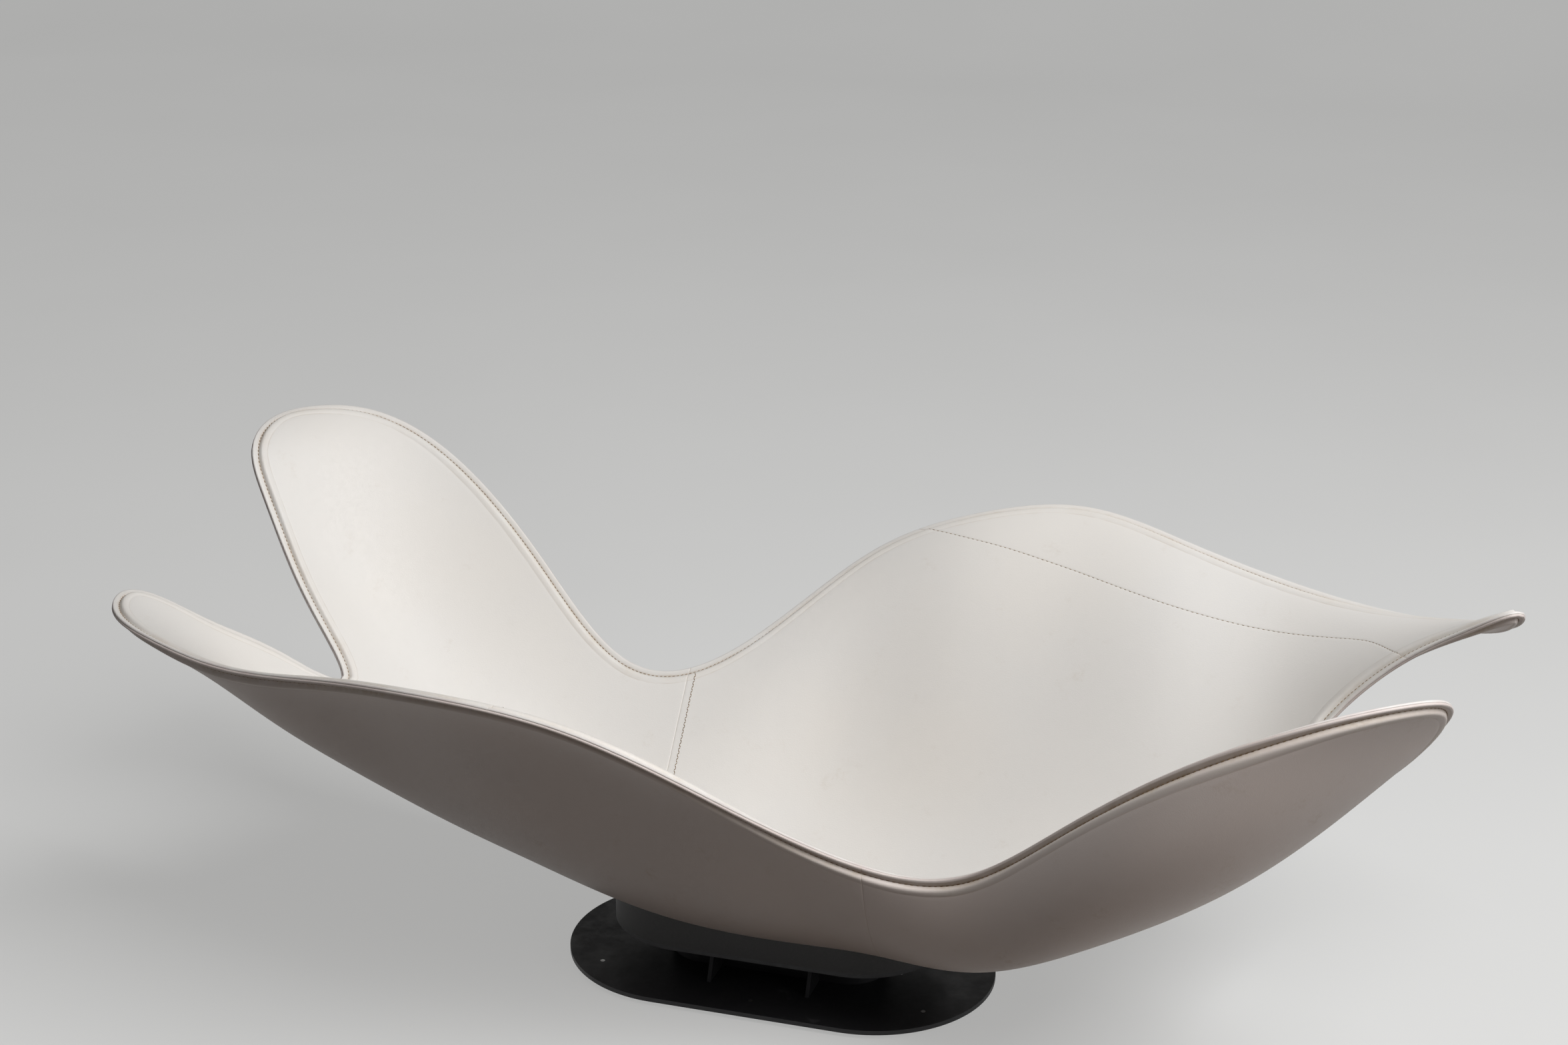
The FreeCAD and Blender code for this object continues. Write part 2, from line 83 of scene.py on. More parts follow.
# The outline round each end, along and across, from the long tip to the upright tip.
right_outline_shares = (
    (0.905, 1.000), (0.945, 1.000), (0.978, 0.985), (0.998, 0.940), (1.004, 0.875), (0.996, 0.810),
    (0.972, 0.760), (0.938, 0.742), (0.900, 0.738), (0.860, 0.710), (0.822, 0.660), (0.783, 0.585),
    (0.750, 0.500), (0.725, 0.390), (0.708, 0.250), (0.698, 0.110), (0.692, 0.000), (0.690, -0.075))
left_outline_shares = (
    (0.790, 1.012), (0.845, 1.026), (0.886, 1.022), (0.914, 1.000), (0.927, 0.955), (0.922, 0.895),
    (0.902, 0.820), (0.874, 0.700), (0.852, 0.540), (0.832, 0.360), (0.808, 0.190), (0.774, 0.060),
    (0.728, -0.020), (0.700, -0.080))
upright_outline_shares = (
    (0.726, -0.138), (0.788, -0.190), (0.834, -0.272), (0.870, -0.402), (0.900, -0.580),
    (0.922, -0.750), (0.936, -0.900), (0.930, -0.982), (0.896, -1.000))
RIM_STEP_COUNT = 18

# Seams of the leather.
INNER_JOINT_PLACE = -0.2385
INNER_STITCH_PLACE = -0.2270
OUTER_SEAM_PLACE = 0.2050
wing_seam_shares = (
    (-0.060, 1.130), (0.020, 1.060), (0.104, 0.975), (0.170, 0.918), (0.236, 0.872), (0.304, 0.832),
    (0.384, 0.812), (0.463, 0.813), (0.531, 0.826), (0.590, 0.838), (0.651, 0.851), (0.712, 0.861),
    (0.765, 0.862), (0.805, 0.845), (0.838, 0.740), (0.870, 0.600), (0.900, 0.460))

# Section of the edge, in shares of MM. Each row is the distance in from the outline and the
# depth of the outer side, then the same for the hidden side.
edge_shares = (
    (-0.9, 7.6, -0.25, 7.6), (-1.3, 7.2, -0.25, 7.2), (-1.45, 6.5, -0.25, 6.6),
    (-1.3, 5.5, -0.2, 6.2), (-0.8, 4.8, 0.2, 6.0), (0.0, 4.45, 0.9, 5.95), (1.0, 4.3, 1.8, 5.95),
    (3.0, 4.35, 3.0, 5.95), (5.0, 4.45, 5.0, 5.95), (6.2, 4.7, 6.2, 5.95), (6.8, 5.1, 6.9, 5.97),
    (7.2, 5.35, 7.4, 5.98), (7.6, 5.1, 8.3, 5.95), (8.0, 4.2, 9.3, 5.5), (8.6, 2.7, 10.3, 4.4),
    (9.3, 1.4, 11.2, 3.2), (10.3, 0.35, 12.2, 2.2), (11.6, -0.25, 13.2, 1.8),
    (13.4, -0.5, 14.4, 1.62), (16.0, -0.35, 16.0, 1.62), (18.2, -0.03, 18.2, 1.62),
    (19.2, 0.2, 19.2, 1.62), (20.2, 0.15, 20.2, 1.62), (22.0, 0.0, 22.0, 1.62),
    (26.0, 0.0, 26.0, 1.62))
RING_COUNT = 560
FILL_STEP = 8.0 * MM
ACROSS_LENGTH = 0.32 * SPAN
ROW_SPACING = math.sqrt(3) / 2

middle = (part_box("base_floor_plate")[0][0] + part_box("base_floor_plate")[1][0]) / 2


def pad_ends(values):
    first = 2 * values[0] - values[1]
    last = 2 * values[-1] - values[-2]
    return np.concatenate([[first], values, [last]])


def spline_controls(values):
    """Control values of a uniform cubic spline that passes through the values."""
    values = np.array(values, float)
    controls = values.copy()
    for _ in range(SPLINE_PASSES):
        padded = pad_ends(controls)
        controls = controls + values - (padded[:-2] + 4 * controls + padded[2:]) / 6
    return pad_ends(controls)


def spline_weights(rest):
    return (
        (1 - rest) ** 3 / 6,
        (3 * rest ** 3 - 6 * rest ** 2 + 4) / 6,
        (-3 * rest ** 3 + 3 * rest ** 2 + 3 * rest + 1) / 6,
        rest ** 3 / 6)


def spline_at(controls, place):
    steps = len(controls) - 3
    travel = (place + 1) / 2 * steps
    index = np.clip(np.floor(travel).astype(int), 0, steps - 1)
    weights = spline_weights(travel - index)
    return sum(weight * controls[index + shift] for shift, weight in enumerate(weights))


RIM_ACROSS = spline_controls(rim_across_shares)
RIM_HEIGHT = spline_controls(rim_height_shares)
KEEL_HEIGHT = spline_controls(keel_height_shares)
FAR_TURN = spline_controls(far_turn_shares)
NEAR_TURN = spline_controls(near_turn_shares)
FLOOR_FULLNESS = spline_controls(floor_fullness_shares)


def half_section(along, across, turn_share):
    """Out and up of the far half of the section, from the keel at 0 to the rim at 1."""
    out = SPAN * spline_at(RIM_ACROSS, along)
    up = SPAN * spline_at(RIM_HEIGHT, along)
    keel = SPAN * spline_at(KEEL_HEIGHT, along)
    turn = turn_share * math.pi / 2
    floor = spline_at(FLOOR_FULLNESS, along) * out
    left = 1 - across
    weights = (left ** 3, 3 * left * left * across, 3 * left * across * across, across ** 3)
    outs = (0 * out, floor, out - WALL_REACH * np.cos(turn), out)
    ups = (keel, keel, up - WALL_REACH * np.sin(turn), up)
    y = sum(weight * value for weight, value in zip(weights, outs))
    z = sum(weight * value for weight, value in zip(weights, ups))
    return y, z


def carrier(along, across):
    """The inner face of the shell. The near half is laid out as seen after half a turn."""
    side = np.where(across >= 0, 1.0, -1.0)
    turn_share = np.where(across >= 0, spline_at(FAR_TURN, along), spline_at(NEAR_TURN, -along))
    y, z = half_section(side * along, np.abs(across), turn_share)
    return np.stack([along * REACH + middle, side * y, z + KEEL_LIFT], axis=-1)


def carrier_frame(along, across):
    """Tangents along and across, per unit of each share, and the upward normal."""
    step = FRAME_STEP
    tangent_along = (carrier(along + step, across) - carrier(along - step, across)) / (2 * step)
    tangent_across = (carrier(along, across + step) - carrier(along, across - step)) / (2 * step)
    normal = np.cross(tangent_along, tangent_across)
    normal /= np.linalg.norm(normal, axis=-1, keepdims=True)
    return tangent_along, tangent_across, normal


def skin_point(places, depth):
    normal = carrier_frame(places[:, 0], places[:, 1])[2]
    return carrier(places[:, 0], places[:, 1]) - normal * np.reshape(depth, (-1, 1))


def dot(one, two):
    return np.sum(one * two, axis=-1)


def metric(places):
    """First fundamental form of the carrier at each place."""
    tangent_along, tangent_across = carrier_frame(places[:, 0], places[:, 1])[:2]
    return (
        dot(tangent_along, tangent_along), dot(tangent_along, tangent_across),
        dot(tangent_across, tangent_across))


def side_step(places, steps, distance):
    """Move each place of a line inward over the surface. The steps are its local direction."""
    tangent_along, tangent_across, normal = carrier_frame(places[:, 0], places[:, 1])
    edge = tangent_along * steps[:, :1] + tangent_across * steps[:, 1:]
    inward = np.cross(edge, normal)
    inward /= np.linalg.norm(inward, axis=-1, keepdims=True)
    aa, ab, bb = metric(places)
    pa = dot(tangent_along, inward)
    pb = dot(tangent_across, inward)
    spread = aa * bb - ab * ab
    moved = np.stack([(pa * bb - pb * ab) / spread, (pb * aa - pa * ab) / spread], axis=-1)
    return places + moved * np.reshape(distance, (-1, 1))


def closed_spline(controls, travel):
    index = np.floor(travel).astype(int)
    weights = spline_weights(travel - index)
    count = len(controls)
    return sum(
        weight[:, None] * controls[(index + shift) % count] for shift, weight in enumerate(weights))


def rim_rows(start, end):
    rows = []
    for step in range(1, RIM_STEP_COUNT):
        part = step / RIM_STEP_COUNT
        rows.append((-start[0] + (end[0] + start[0]) * part, 1.0))
    return rows


def outline_controls():
    """Closed control polygon: far rim, right end, near rim, left end."""
    right = list(right_outline_shares + upright_outline_shares)
    left = list(left_outline_shares + upright_outline_shares)
    rows = rim_rows(left[-1], right[0]) + right
    rows += [(-along, -across) for along, across in rim_rows(right[-1], left[0]) + left]
    return np.array(rows)


OUTLINE = outline_controls()
FINE_COUNT = 6000


def even_travels(count):
    """Values of the outline's parameter, evenly spaced round it."""
    travel = np.linspace(0, len(OUTLINE), FINE_COUNT, endpoint=False)
    points = skin_point(closed_spline(OUTLINE, travel), CORE_TOP)
    lengths = np.linalg.norm(np.roll(points, -1, axis=0) - points, axis=1)
    run = np.concatenate([[0], np.cumsum(lengths)])
    marks = run[-1] * np.arange(count) / count
    return np.interp(marks, run, np.append(travel, len(OUTLINE)))


def outline_places(travel):
    return closed_spline(OUTLINE, travel % len(OUTLINE))


def free_inset(travel, distance):
    step = TRAVEL_STEP
    places = outline_places(travel)
    steps = outline_places(travel + step) - outline_places(travel - step)
    return side_step(places, steps, distance)


CORNER_PROBE = 4.0 * MM
CORNER_SLOPE = 0.4
CORNER_USE = 0.80
REACH_COUNT = 1200
FINE_LENGTH = MM / 1000


def corner_reach():
    """How far in the rings may go at each place of the outline.

    That is less where the shell is narrow or turns.
    """
    travel = even_travels(REACH_COUNT)
    border = skin_point(outline_places(travel), 0.0)
    inward = skin_point(free_inset(travel, CORNER_PROBE), 0.0) - border
    inward /= np.linalg.norm(inward, axis=1, keepdims=True)
    chords = border[None] - border[:, None]
    lean = np.sum(chords * inward[:, None], axis=-1)
    balls = np.sum(chords ** 2, axis=-1) / (2 * np.maximum(lean, FINE_LENGTH))
    np.fill_diagonal(balls, REACH)
    radius = np.minimum(balls.min(axis=1), REACH)
    spacing = np.linalg.norm(np.roll(border, -1, axis=0) - border, axis=1).mean()
    number = np.arange(REACH_COUNT)
    apart = np.abs(number[None] - number[:, None])
    apart = np.minimum(apart, REACH_COUNT - apart) * spacing
    return travel, np.min(CORNER_USE * radius[None] + CORNER_SLOPE * apart, axis=1)


CORNER_REACH = corner_reach()


def inset_places(travel, distance):
    """Places a distance in from the outline, held back at tight corners."""
    if distance <= 0:
        return free_inset(travel, distance)
    reach = np.interp(travel % len(OUTLINE), *CORNER_REACH, period=len(OUTLINE))
    held = distance / (1 + (distance / reach) ** 4) ** 0.25
    return free_inset(travel, held)


def inside_ring(ring, places):
    """Which places lie inside a closed ring, by counting crossings."""
    inside = np.zeros(len(places), bool)
    for one, two in zip(ring, np.roll(ring, -1, axis=0)):
        spans = (one[1] > places[:, 1]) != (two[1] > places[:, 1])
        rise = two[1] - one[1]
        if rise:
            hit = one[0] + (places[:, 1] - one[1]) * (two[0] - one[0]) / rise
            inside ^= spans & (hit > places[:, 0])
    return inside


def lattice_inside(ring, step):
    """Points of a staggered lattice inside a ring and clear of it."""
    low = ring.min(axis=0)
    high = ring.max(axis=0)
    points = []
    for number, across in enumerate(np.arange(low[1], high[1], step * ROW_SPACING)):
        along = np.arange(low[0], high[0], step) + (number % 2) * step / 2
        points.append(np.stack([along, np.full(len(along), across)], axis=-1))
    points = np.concatenate(points)
    points = points[inside_ring(ring, points)]
    clear = np.full(len(points), True)
    for corner in ring:
        clear &= np.sum((points - corner) ** 2, axis=1) > (ROW_SPACING * step) ** 2 / 2
    return points[clear]


def fill_ring(ring, step):
    """Places inside a ring of places, and triangles over the ring and them."""
    size = np.array([REACH, ACROSS_LENGTH])
    border = ring * size
    inner = lattice_inside(border, step)
    points = [Vector(point) for point in np.concatenate([border, inner])]
    found = delaunay_2d_cdt(points, [], [list(range(len(border)))], 1, FINE_LENGTH)
    source = [first[0] for first in found[3]]
    triangles = [tuple(source[corner] for corner in face) for face in found[2]]
    return inner / size, triangles


def shell_net(rows, count, step):
    """Net over the whole shell.

    A vertex holds along, across and edge row, and layers hold its hidden side.
    """
    travel = even_travels(count)
    shown = [inset_places(travel, row[0] * MM) for row in rows]
    hidden = [inset_places(travel, row[2] * MM) for row in rows]
    net = bmesh.new()
    layers = (net.verts.layers.float.new("hidden_along"), net.verts.layers.float.new("hidden_across"))

    def vertex_at(place, back, row):
        vertex = net.verts.new((place[0], place[1], row))
        vertex[layers[0]] = back[0]
        vertex[layers[1]] = back[1]
        return vertex

    rings = [
        [vertex_at(place, back, number) for place, back in zip(places, backs)]
        for number, (places, backs) in enumerate(zip(shown, hidden))]
    for one, two in zip(rings, rings[1:]):
        for index in range(count):
            after = (index + 1) % count
            net.faces.new((one[after], one[index], two[index], two[after]))
    inner, triangles = fill_ring(shown[-1], step)
    corners = rings[-1] + [vertex_at(place, place, len(rows) - 1) for place in inner]
    for triangle in triangles:
        net.faces.new([corners[index] for index in triangle])
    return net


WING_LINE_COUNT = 400
WING_CUT_START = -0.1
WING_CUT_END = 0.95
WING_FACE_START = -0.2


def wing_line(along):
    """Across share of the wing seam at a place along."""
    controls = np.array(wing_seam_shares)
    travel = np.linspace(0, len(controls) - 3, WING_LINE_COUNT)[:-1]
    places = closed_spline(controls, travel)
    return np.interp(along, places[:, 0], places[:, 1])


def cut_along(net, place):
    parts = net.verts[:] + net.edges[:] + net.faces[:]
    bmesh.ops.bisect_plane(
        net, geom=parts, dist=CUT_TOLERANCE, plane_co=(place, 0, 0), plane_no=(1, 0, 0))


def cut_wing(net, shifts):
    """Cut lines beside the wing seam, in a space where the seam is straight."""
    for vertex in net.verts:
        vertex.co.y -= float(wing_line(vertex.co.x))
    for shift in shifts:
        near = [
            face for face in net.faces
            if WING_CUT_START < face.calc_center_median().x < WING_CUT_END]
        parts = set(near)
        for face in near:
            parts.update(face.verts)
            parts.update(face.edges)
        bmesh.ops.bisect_plane(
            net, geom=list(parts), dist=CUT_TOLERANCE, plane_co=(0, shift, 0), plane_no=(0, 1, 0))
    for vertex in net.verts:
        vertex.co.y += float(wing_line(vertex.co.x))


def seam_gap(places, field_along, field_across, value):
    """Distance in metres to a seam where a field over the shell is zero."""
    aa, ab, bb = metric(places)
    spread = aa * bb - ab * ab
    slope = bb * field_along ** 2 - 2 * ab * field_along * field_across + aa * field_across ** 2
    return np.abs(value) / np.sqrt(slope / spread)


def cross_seam_distance(places, place):
    ones = np.ones(len(places))
    return seam_gap(places, ones, 0 * ones, places[:, 0] - place)


def wing_seam_distance(places):
    step = SEAM_SLOPE_STEP
    slope = (wing_line(places[:, 0] + step) - wing_line(places[:, 0] - step)) / (2 * step)
    value = places[:, 1] - wing_line(places[:, 0])
    return seam_gap(places, -slope, np.ones(len(places)), value)


# Distance from a seam and depth of the dip there, in shares of MM.
seam_dip_shares = (
    (0.0, 0.50), (0.4, 0.27), (0.9, 0.13), (1.8, 0.05), (3.0, 0.02), (5.0, 0.0))


def seam_dip(distance):
    rows = np.array(seam_dip_shares) * MM
    return np.interp(distance, rows[:, 0], rows[:, 1])


def net_data(net):
    """Places and edge rows of the vertices, hidden places, faces and their centres."""
    net.verts.index_update()
    layers = [net.verts.layers.float[name] for name in ("hidden_along", "hidden_across")]
    held = np.array([vertex.co[:] for vertex in net.verts])
    hidden = np.array([[vertex[layer] for layer in layers] for vertex in net.verts])
    faces = [tuple(vertex.index for vertex in face.verts) for face in net.faces]
    centres = np.array([face.calc_center_median()[:] for face in net.faces])
    net.free()
    return held, hidden, faces, centres


def row_value(rows, column, at):
    return np.interp(at, np.arange(len(rows)), [row[column] for row in rows]) * MM


LIP_DEPTH = 4.39 * MM
HIDDEN_LIP_DEPTH = 6.0 * MM


def inner_depth(depth, hidden):
    return depth


def outer_depth(depth, hidden):
    """The same section seen from the other side of the wall, whose foam is thinner."""
    start = LEATHER if hidden else 0.0
    lip = HIDDEN_LIP_DEPTH if hidden else LIP_DEPTH
    low = WALL - start
    lip_low = CORE_TOP + CORE_BOTTOM - lip
    share = (depth - start) / (lip - start)
    return np.where(share < 1, low + (lip_low - low) * share, lip_low - (depth - lip))


def closed_panel(name, data, rows, keep, side_depth, dip, upward):
    """A closed skin over the kept faces: its outer side, its hidden side and the wall between."""
    held, hidden, faces = data[:3]
    kept = [face for face, use in zip(faces, keep) if use]
    used = sorted({index for face in kept for index in face})
    lookup = {old: new for new, old in enumerate(used)}
    places = held[used][:, :2]
    at = held[used][:, 2]
    seam = dip(places)
    sunk = seam_dip(seam)
    sign = 1 if upward else -1
    shown = skin_point(places, side_depth(row_value(rows, 1, at), False) + sign * sunk)
    back = skin_point(hidden[used], side_depth(row_value(rows, 3, at), True))
    count = len(used)
    polygons = []
    open_edges = {}
    for face in kept:
        ring = [lookup[index] for index in face]
        if not upward:
            ring.reverse()
        polygons.append(ring)
        polygons.append([index + count for index in reversed(ring)])
        for one, two in zip(ring, ring[1:] + ring[:1]):
            if (two, one) in open_edges:
                del open_edges[two, one]
            else:
                open_edges[one, two] = True
    for one, two in open_edges:
        polygons.append([two, one, one + count, two + count])
    points = np.concatenate([shown, back])
    mesh = bpy.data.meshes.new(name)
    mesh.from_pydata([tuple(point) for point in points], [], polygons)
    gap = mesh.attributes.new("edge_gap", "FLOAT", "POINT")
    distance = row_value(rows, 0, at)
    gap.data.foreach_set("value", np.concatenate([distance, distance]).astype(np.float32))
    joint = mesh.attributes.new("seam_gap", "FLOAT", "POINT")
    joint.data.foreach_set("value", np.concatenate([seam, seam]).astype(np.float32))
    mesh.polygons.foreach_set("use_smooth", [True] * len(mesh.polygons))
    mesh.set_sharp_from_angle(angle=math.radians(SHARP_ANGLE))
    piece = bpy.data.objects.new(name, mesh)
    bpy.context.collection.objects.link(piece)
    return piece


def inner_seam_distance(places):
    """Distance to the nearest joint of the inner leather."""
    cross = cross_seam_distance(places, INNER_JOINT_PLACE)
    wing = wing_seam_distance(places)
    return np.minimum(cross, wing)


def outer_seam_distance(places):
    return cross_seam_distance(places, OUTER_SEAM_PLACE)


def far_from_seams(places):
    return np.full(len(places), REACH)


seam_line_shares = (-0.0055, -0.0028, -0.0013, -0.0006, 0.0, 0.0006, 0.0013, 0.0028, 0.0055)
wing_line_shift_shares = (-0.0120, -0.0055, -0.0026, -0.0011, 0.0, 0.0011, 0.0026, 0.0055, 0.0120)


def leather_pieces():
    inner_net = shell_net(edge_shares, RING_COUNT, FILL_STEP)
    for shift in seam_line_shares:
        cut_along(inner_net, INNER_JOINT_PLACE + shift)
    cut_wing(inner_net, wing_line_shift_shares)
    inner = net_data(inner_net)
    outer_net = shell_net(edge_shares, RING_COUNT, FILL_STEP)
    for shift in seam_line_shares:
        cut_along(outer_net, OUTER_SEAM_PLACE + shift)
    outer = net_data(outer_net)
    centres = inner[3]
    head = centres[:, 0] < INNER_JOINT_PLACE
    wing = (centres[:, 1] > wing_line(centres[:, 0])) & (centres[:, 0] > WING_FACE_START)
    seat = ~head & ~wing
    long_side = outer[3][:, 0] < OUTER_SEAM_PLACE
    plans = (
        ("leather_head_panel", "leather_inner_head", inner, head, True),
        ("leather_seat_panel", "leather_inner_seat", inner, seat, True),
        ("leather_wing_panel", "leather_inner_wing", inner, wing, True),
        ("leather_belly_long_panel", "leather_outer_long", outer, long_side, False),
        ("leather_belly_short_panel", "leather_outer_short", outer, ~long_side, False))
    made = []
    for name, node, data, keep, upward in plans:
        side = inner_depth if upward else outer_depth
        dip = inner_seam_distance if upward else outer_seam_distance
        piece = closed_panel(name, data, edge_shares, keep, side, dip, upward)
        made.append((piece, node, "inner_leather" if upward else "outer_leather"))
    return made


# Foam under the leather: distance and depth of its leather side, then of its core side.
foam_shares = (
    (12.4, 3.4, 10.6, 5.98), (14.0, 1.95, 12.6, 5.98), (17.0, 1.75, 16.5, 5.98),
    (26.0, 1.75, 26.0, 5.98))
FOAM_HIGH = 1.75 * MM
FOAM_LOW = 5.98 * MM
FOAM_RING_COUNT = 280
FOAM_FILL_STEP = 16.0 * MM


def foam_outer_depth(depth, hidden):
    """Foam outside the core, kept between the core and the outer leather."""
    low = WALL - LEATHER - GLUE
    top = CORE_BOTTOM + GLUE
    share = (depth - FOAM_HIGH) / (FOAM_LOW - FOAM_HIGH)
    return low + (top - low) * share


def foam_pieces():
    made = []
    for place, side, upward, names in (
            (INNER_JOINT_PLACE, inner_depth, True, ("foam_inner_head", "foam_inner_seat")),
            (OUTER_SEAM_PLACE, foam_outer_depth, False, ("foam_outer_long", "foam_outer_short"))):
        net = shell_net(foam_shares, FOAM_RING_COUNT, FOAM_FILL_STEP)
        cut_along(net, place)
        data = net_data(net)
        before = data[3][:, 0] < place
        for keep, node in zip((before, ~before), names):
            name = node.replace("foam", "foam_pad")
            piece = closed_panel(name, data, foam_shares, keep, side, far_from_seams, upward)
            made.append((piece, node, "foam"))
    return made


# Stitches.
INNER_PITCH = 6.0 * MM
OUTER_PITCH = 7.2 * MM
STITCH_FILL = 0.72
STITCH_RADIUS = 0.62 * MM
STITCH_ROW = 7.2 * MM
STITCH_GROOVE = 5.35 * MM
STITCH_TILT = 0.16
CROSS_PITCH = 3.75 * MM
WING_PITCH = 7.0 * MM
SEAM_STITCH_RADIUS = 0.56 * MM
stitch_ring_shares = (-1.0, -0.86, -0.45, 0.0, 0.45, 0.86, 1.0)
STITCH_SIDES = 6
STITCH_END_SHARE = 0.03
STITCH_SINK_SHARE = 0.9
STITCH_FLAT_SHARE = 0.8
STITCH_SWAY = 0.05
STITCH_LEAST_SHARE = 0.92
STITCH_MOST_SHARE = 1.05


def stitch_shape(length, radius):
    """One stitch along X: a short thread whose ends dip into the leather."""
    points = []
    for share in stitch_ring_shares:
        thick = radius * math.sqrt(max(1 - share ** 4, STITCH_END_SHARE))
        sink = radius * (STITCH_SINK_SHARE * share * share)
        for side in range(STITCH_SIDES):
            angle = 2 * math.pi * side / STITCH_SIDES
            high = thick * math.sin(angle) * STITCH_FLAT_SHARE - sink
            points.append((share * length / 2, thick * math.cos(angle), high))
    faces = []
    for ring in range(len(stitch_ring_shares) - 1):
        for side in range(STITCH_SIDES):
            one = ring * STITCH_SIDES + side
            two = ring * STITCH_SIDES + (side + 1) % STITCH_SIDES
            faces.append((one, two, two + STITCH_SIDES, one + STITCH_SIDES))
    faces.append(tuple(reversed(range(STITCH_SIDES))))
    last = (len(stitch_ring_shares) - 1) * STITCH_SIDES
    faces.append(tuple(range(last, last + STITCH_SIDES)))
    return np.array(points), faces


def stitch_mesh(name, centres, alongs, ups, length, radius, tilt):
    """All the stitches of one line as a single mesh."""
    shape, shape_faces = stitch_shape(length, radius)
    points = []
    faces = []
    for centre, along, up in zip(centres, alongs, ups):
        side = np.cross(up, along)
        turn = tilt + random.uniform(-STITCH_SWAY, STITCH_SWAY)
        lead = along * math.cos(turn) + side * math.sin(turn)
        cross = np.cross(up, lead)
        size = random.uniform(STITCH_LEAST_SHARE, STITCH_MOST_SHARE)
        start = len(points) * len(shape)
        points.append(centre + shape[:, :1] * size * lead + shape[:, 1:2] * cross + shape[:, 2:] * up)
        faces += [tuple(start + index for index in face) for face in shape_faces]
    mesh = bpy.data.meshes.new(name)
    mesh.from_pydata([tuple(point) for point in np.concatenate(points)], [], faces)
    mesh.polygons.foreach_set("use_smooth", [True] * len(mesh.polygons))
    piece = bpy.data.objects.new(name, mesh)
    bpy.context.collection.objects.link(piece)
    return piece


def unit(vectors):
    return vectors / np.linalg.norm(vectors, axis=-1, keepdims=True)


def even_marks(points, pitch, closed):
    """Fractional indices along a line of points, a pitch apart."""
    if closed:
        points = np.concatenate([points, points[:1]])
    run = np.concatenate([[0], np.cumsum(np.linalg.norm(np.diff(points, axis=0), axis=1))])
    count = max(int(run[-1] / pitch), 1)
    marks = run[-1] * (np.arange(count) + 0.5) / count
    return np.interp(marks, run, np.arange(len(run)))


def rim_stitches(name, places, depth, upward, pitch):
    """Stitches along a closed line of places at a depth."""
    points = skin_point(places, depth)
    marks = even_marks(points, pitch, True)
    whole = np.concatenate([places, places[:1]])
    index = np.arange(len(whole))

    def places_at(where):
        return np.stack([np.interp(where, index, whole[:, axis]) for axis in (0, 1)], axis=-1)

    at = places_at(marks)
    ahead = places_at(np.minimum(marks + MARK_STEP, index[-1]))
    behind = places_at(np.maximum(marks - MARK_STEP, 0))
    spots = skin_point(at, depth)
    alongs = unit(skin_point(ahead, depth) - skin_point(behind, depth))
    normals = carrier_frame(at[:, 0], at[:, 1])[2]
    ups = normals if upward else -normals
    ups = unit(ups - alongs * dot(ups, alongs)[:, None])
    return stitch_mesh(name, spots, alongs, ups, pitch * STITCH_FILL, STITCH_RADIUS, STITCH_TILT)


THREAD_LIFT = 0.35 * MM
SEAM_THREAD_LIFT = 0.15 * MM
WING_THREAD_SINK = 0.5 * MM
CROSS_TILT = 0.57
CROSS_FILL = 1.19
WING_FILL = 0.60
SEAM_CLEARANCE = 1.5 * MM
THREAD_LINE_COUNT = 400
THREAD_RING_COUNT = 3000
INSIDE_COUNT = 1500
WING_START = -0.05
WING_END = 0.90
MARK_STEP = 0.05
SEAM_MARK_STEP = 0.5


def edge_distance(places):
    """Distance from each place to the outline, in metres."""
    travel = np.linspace(0, len(OUTLINE), THREAD_RING_COUNT, endpoint=False)
    border = skin_point(outline_places(travel), CORE_TOP)
    points = skin_point(places, CORE_TOP)
    return np.array([np.min(np.linalg.norm(border - point, axis=1)) for point in points])


def face_depth(places):
    """Depth of the shown side of the inner leather, away from its joints."""
    distances = np.array([row[0] for row in edge_shares]) * MM
    depths = np.array([row[1] for row in edge_shares]) * MM
    return np.interp(edge_distance(places), distances, depths)


def seam_places(line):
    """The part of a seam line that lies on the padded face."""
    kept = edge_distance(line) > STITCH_ROW + SEAM_CLEARANCE
    inside = inside_outline(line)
    return line[kept & inside]


def inside_outline(places):
    border = outline_places(np.linspace(0, len(OUTLINE), INSIDE_COUNT, endpoint=False))
    return inside_ring(border, places)


def thread_pieces():
    travel = np.linspace(0, len(OUTLINE), THREAD_RING_COUNT, endpoint=False)
    ring = inset_places(travel, STITCH_ROW)
    low = float(outer_depth(np.array([STITCH_GROOVE]), False)[0])
    inner = rim_stitches("thread_inner_rim", ring, STITCH_GROOVE - THREAD_LIFT, True, INNER_PITCH)
    outer = rim_stitches("thread_outer_rim", ring, low + THREAD_LIFT, False, OUTER_PITCH)
    made = [(inner, "inner_leather"), (outer, "outer_leather")]
    across = np.linspace(-1, 1, THREAD_LINE_COUNT)
    cross = seam_places(np.stack([np.full_like(across, INNER_STITCH_PLACE), across], axis=-1))
    along = np.linspace(WING_START, WING_END, THREAD_LINE_COUNT)
    wing = seam_places(np.stack([along, wing_line(along)], axis=-1))
    for name, line, sink, pitch, fill, tilt in (
            ("thread_cross_seam", cross, 0.0, CROSS_PITCH, CROSS_FILL, CROSS_TILT),
            ("thread_wing_seam", wing, WING_THREAD_SINK, WING_PITCH, WING_FILL, 0.0)):
        depth = face_depth(line) - SEAM_THREAD_LIFT + sink
        made.append((stitch_line(name, line, depth, pitch, fill, tilt), "inner_leather"))
    return made


